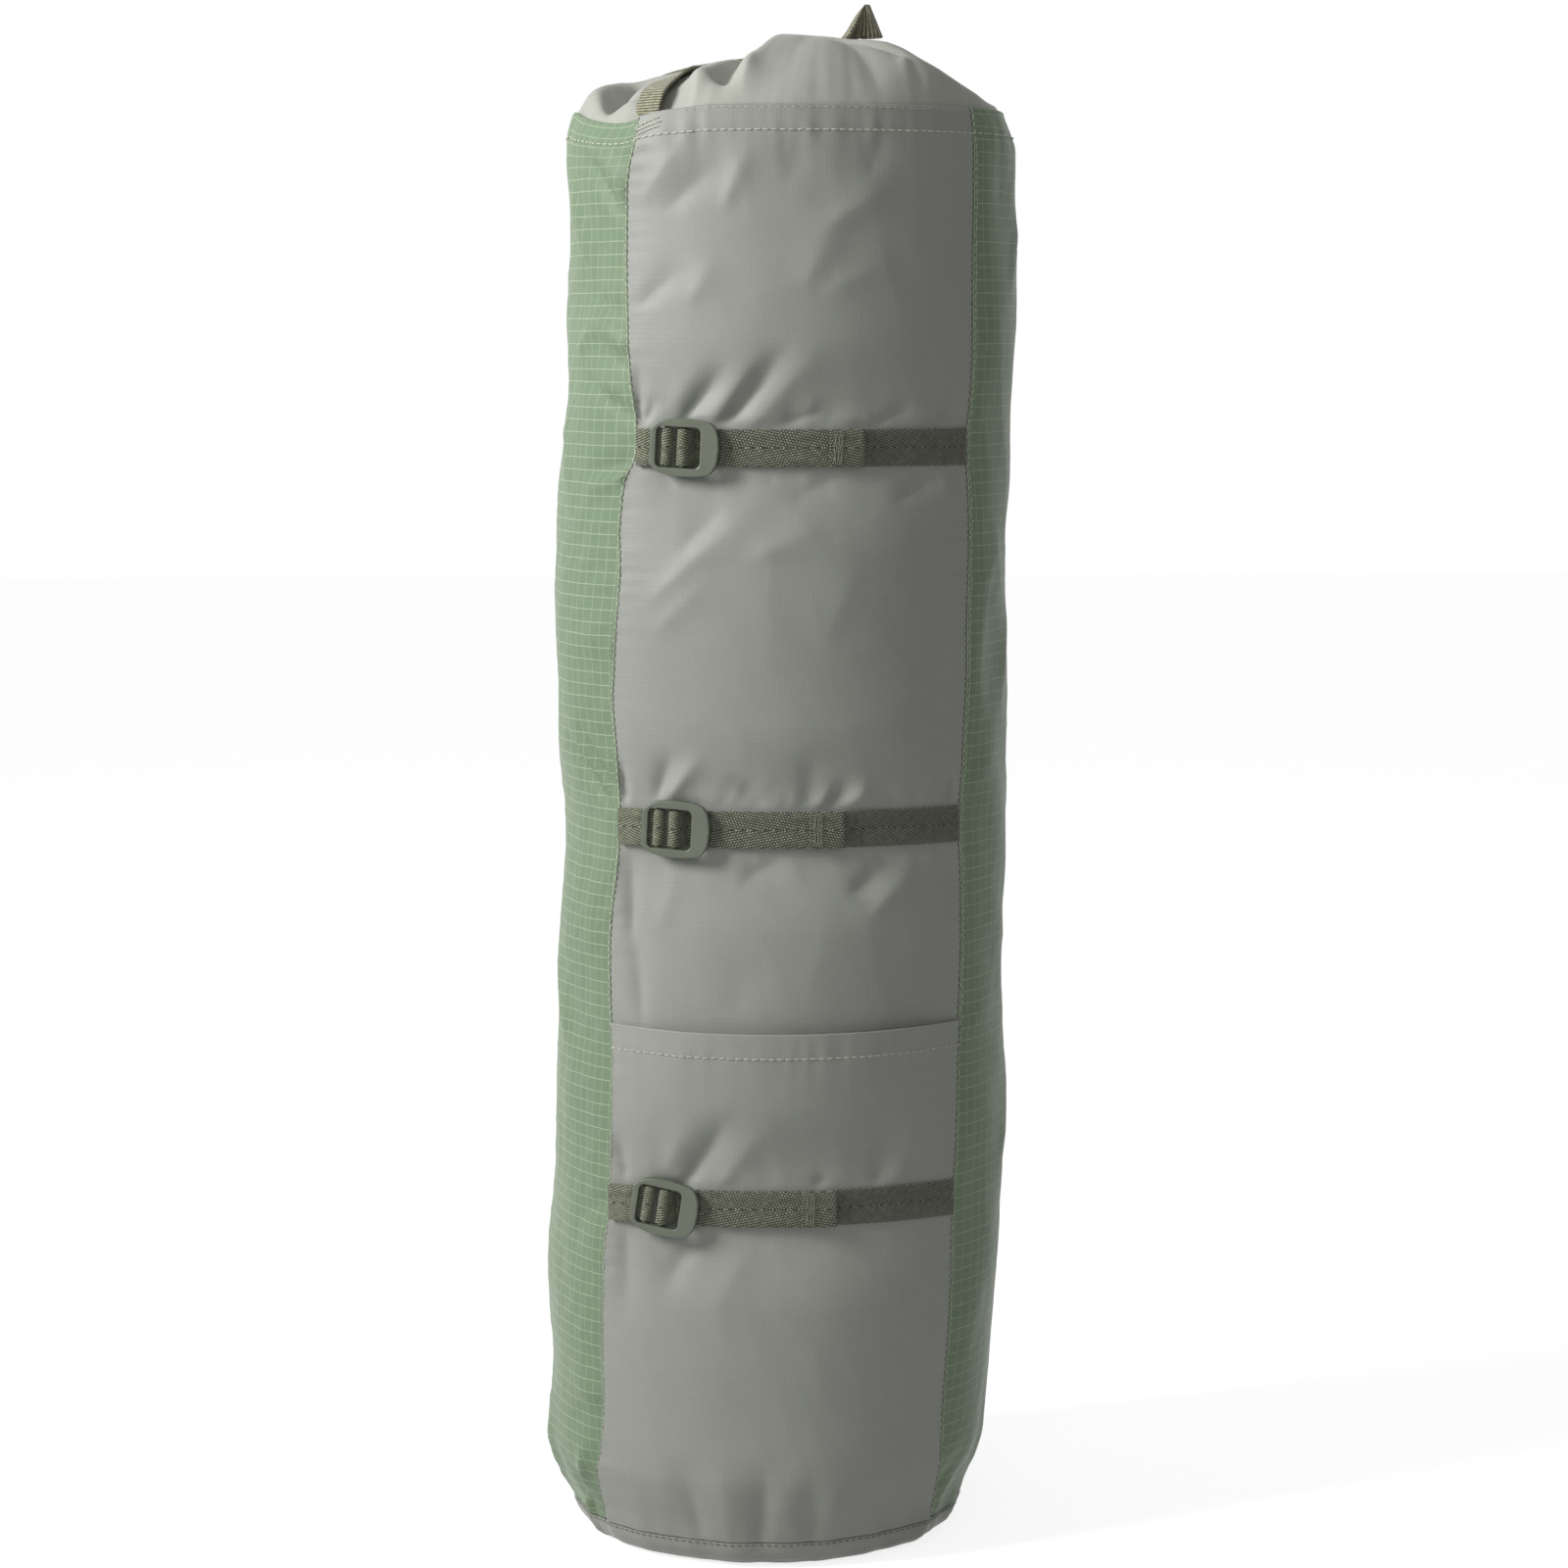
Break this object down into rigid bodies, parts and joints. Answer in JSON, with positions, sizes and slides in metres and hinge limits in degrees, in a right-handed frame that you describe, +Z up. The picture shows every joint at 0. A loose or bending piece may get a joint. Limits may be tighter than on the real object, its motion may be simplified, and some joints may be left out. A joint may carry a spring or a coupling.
{
  "type": "packed two-person tent",
  "caption": "Tent packed in an upright cloth sack with compression straps, ladder-lock buckles, a front pocket, a gathered collar and a webbing handle.",
  "frame": {"origin": "centre of the upright sack's footprint box, on the floor that the base rests on", "axes": "+Z up along the sack, front panel with straps and pocket towards -Y, buckles on the -X side"},
  "size_m": [0.1932, 0.1753, 0.6374],
  "materials": {
    "grey_ripstop": "matte",
    "collar_ripstop": "matte",
    "green_ripstop": "matte",
    "olive_webbing": "matte",
    "buckle_plastic": "satin",
    "inner_tent_cloth": "matte",
    "flysheet_cloth": "matte",
    "small_sack_cloth": "matte",
    "pole_metal": "satin",
    "peg_metal": "satin",
    "shock_cord": "matte"
  },
  "bodies": {
    "sack": {"front_panel": "grey_ripstop", "front_pocket": "grey_ripstop", "base_panel": "grey_ripstop", "closure_collar": "collar_ripstop", "body_wrap": "green_ripstop", "handle_front_end": "olive_webbing", "handle_rear_end": "olive_webbing", "upper_anchor_webbing": "olive_webbing", "upper_strap_run": "olive_webbing", "middle_anchor_webbing": "olive_webbing", "middle_strap_run": "olive_webbing", "lower_anchor_webbing": "olive_webbing", "lower_strap_run": "olive_webbing", "inner_tent_roll": "inner_tent_cloth", "flysheet_roll": "flysheet_cloth", "pole_sack": "small_sack_cloth", "peg_sack": "small_sack_cloth", "pole_1_section_1": "pole_metal", "pole_1_section_2": "pole_metal", "pole_1_section_3": "pole_metal", "pole_1_section_4": "pole_metal", "pole_1_section_5": "pole_metal", "pole_1_section_6": "pole_metal", "pole_1_section_7": "pole_metal", "pole_2_section_1": "pole_metal", "pole_2_section_2": "pole_metal", "pole_2_section_3": "pole_metal", "pole_2_section_4": "pole_metal", "pole_2_section_5": "pole_metal", "pole_2_section_6": "pole_metal", "pole_2_section_7": "pole_metal", "pole_1_shock_cord": "shock_cord", "pole_2_shock_cord": "shock_cord", "peg_1": "peg_metal", "peg_2": "peg_metal", "peg_3": "peg_metal", "peg_4": "peg_metal", "peg_5": "peg_metal", "peg_6": "peg_metal", "peg_7": "peg_metal", "peg_8": "peg_metal", "repair_sleeve": "pole_metal"},
    "upper_lock": {"upper_buckle": "buckle_plastic", "upper_anchor_loop": "olive_webbing", "upper_strap_turn": "olive_webbing"},
    "middle_lock": {"middle_buckle": "buckle_plastic", "middle_anchor_loop": "olive_webbing", "middle_strap_turn": "olive_webbing"},
    "lower_lock": {"lower_buckle": "buckle_plastic", "lower_anchor_loop": "olive_webbing", "lower_strap_turn": "olive_webbing"},
    "upper_tail": {"upper_strap_tail": "olive_webbing", "upper_tail_end": "olive_webbing"},
    "middle_tail": {"middle_strap_tail": "olive_webbing", "middle_tail_end": "olive_webbing"},
    "lower_tail": {"lower_strap_tail": "olive_webbing", "lower_tail_end": "olive_webbing"},
    "handle": {"top_handle": "olive_webbing"}
  },
  "joints": [
    {"name": "upper_lock_tilt", "type": "hinge", "parent": "sack", "child": "upper_lock", "pos_m": [-0.05833, -0.06503, 0.45529], "axis": [0, 0, -1], "range_deg": [0, 50], "deforming": ["upper_anchor_loop", "upper_strap_turn"]},
    {"name": "middle_lock_tilt", "type": "hinge", "parent": "sack", "child": "middle_lock", "pos_m": [-0.06074, -0.06408, 0.30479], "axis": [0, 0, -1], "range_deg": [0, 50], "deforming": ["middle_anchor_loop", "middle_strap_turn"]},
    {"name": "lower_lock_tilt", "type": "hinge", "parent": "sack", "child": "lower_lock", "pos_m": [-0.06565, -0.06652, 0.15385], "axis": [0, 0, -1], "range_deg": [0, 50], "deforming": ["lower_anchor_loop", "lower_strap_turn"]},
    {"name": "upper_tail_slide", "type": "hinge", "parent": "sack", "child": "upper_tail", "pos_m": [0.00096, 0.0672, 0.4545], "axis": [0, 0, -1], "range_deg": [-3, 17], "deforming": ["upper_strap_tail"]},
    {"name": "middle_tail_slide", "type": "hinge", "parent": "sack", "child": "middle_tail", "pos_m": [0.00027, 0.06709, 0.304], "axis": [0, 0, -1], "range_deg": [-3, 15], "deforming": ["middle_strap_tail"]},
    {"name": "lower_tail_slide", "type": "hinge", "parent": "sack", "child": "lower_tail", "pos_m": [-0.00291, 0.06851, 0.1515], "axis": [0, 0, -1], "range_deg": [-3, 14], "deforming": ["lower_strap_tail"]},
    {"name": "handle_swing", "type": "hinge", "parent": "sack", "child": "handle", "pos_m": [-0.06074, 0.0032, 0.595], "axis": [0, -1, 0], "range_deg": [0, 120]}
  ]
}
